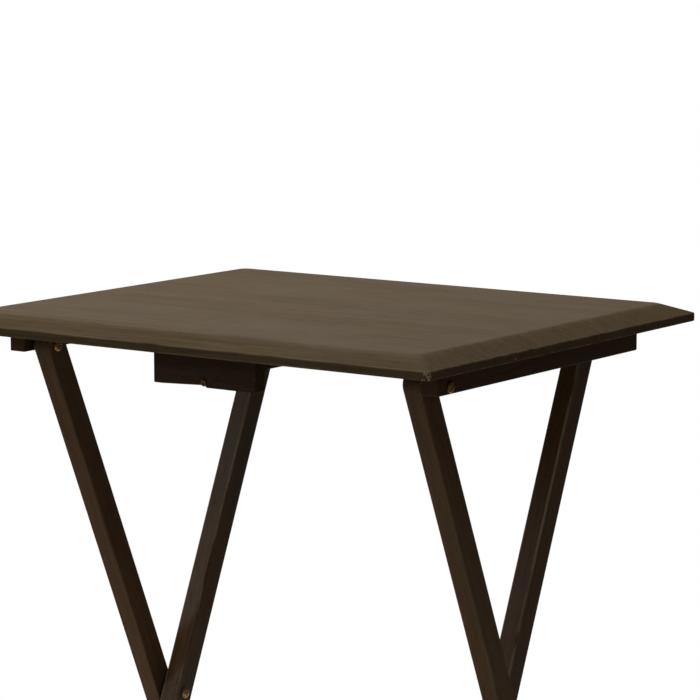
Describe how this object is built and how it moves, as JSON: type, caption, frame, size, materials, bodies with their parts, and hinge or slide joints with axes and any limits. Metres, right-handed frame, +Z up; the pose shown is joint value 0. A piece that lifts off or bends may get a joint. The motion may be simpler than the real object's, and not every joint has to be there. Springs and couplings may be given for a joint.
{
  "type": "folding tray table",
  "caption": "Dark wooden folding tray table: a bevelled rectangular top hinged on a scissor leg stand that folds nearly flat.",
  "frame": {"origin": "on the floor, below the middle of the top", "axes": "+Z up, +X to the right along the long edge of the top, front of the table towards -Y"},
  "size_m": [0.484, 0.41, 0.66],
  "materials": {
    "espresso_top": "satin espresso stain with a fine open grain",
    "espresso_frame": "satin dark espresso stain",
    "antique_brass": "darkened brass plating, satin",
    "zinc_screw": "zinc plated",
    "dark_nylon": "matte moulded nylon",
    "bare_dowel": "bare fluted hardwood"
  },
  "bodies": {
    "outer_frame": {"outer_leg_left": "espresso_frame", "outer_leg_right": "espresso_frame", "outer_stretcher": "espresso_frame", "outer_stretcher_screws": "zinc_screw", "outer_foot_glides": "dark_nylon", "crossing_bolts": "antique_brass", "crossing_sleeve_nuts": "antique_brass", "crossing_spacers": "dark_nylon", "pivot_bolts": "antique_brass", "pivot_sleeve_nuts": "antique_brass", "pivot_spacers": "dark_nylon"},
    "inner_frame": {"inner_leg_left": "espresso_frame", "inner_leg_right": "espresso_frame", "inner_top_bar": "espresso_frame", "inner_bar_screws": "zinc_screw", "inner_stretcher": "espresso_frame", "inner_stretcher_dowels": "bare_dowel", "inner_foot_glides": "dark_nylon"},
    "table_top": {"top_panel": "espresso_top", "left_rail": "espresso_frame", "right_rail": "espresso_frame", "rail_screws": "zinc_screw", "catch_block": "espresso_frame", "catch_ledge": "espresso_frame", "catch_face_screw": "antique_brass", "catch_block_screws": "zinc_screw", "catch_ledge_screws": "zinc_screw", "stop_block": "espresso_frame", "stop_block_screws": "zinc_screw"}
  },
  "joints": [
    {"name": "leg_fold", "type": "hinge", "parent": "outer_frame", "child": "inner_frame", "pos_m": [0, 0.008, 0.303], "axis": [1, 0, 0], "range_deg": [0, 43]},
    {"name": "top_level", "type": "hinge", "parent": "outer_frame", "child": "table_top", "pos_m": [0, -0.132, 0.628], "axis": [1, 0, 0], "range_deg": [0, 21.5]}
  ],
  "couplings": [
    {"joint": "top_level", "follows": "leg_fold", "ratio": 0.5}
  ]
}
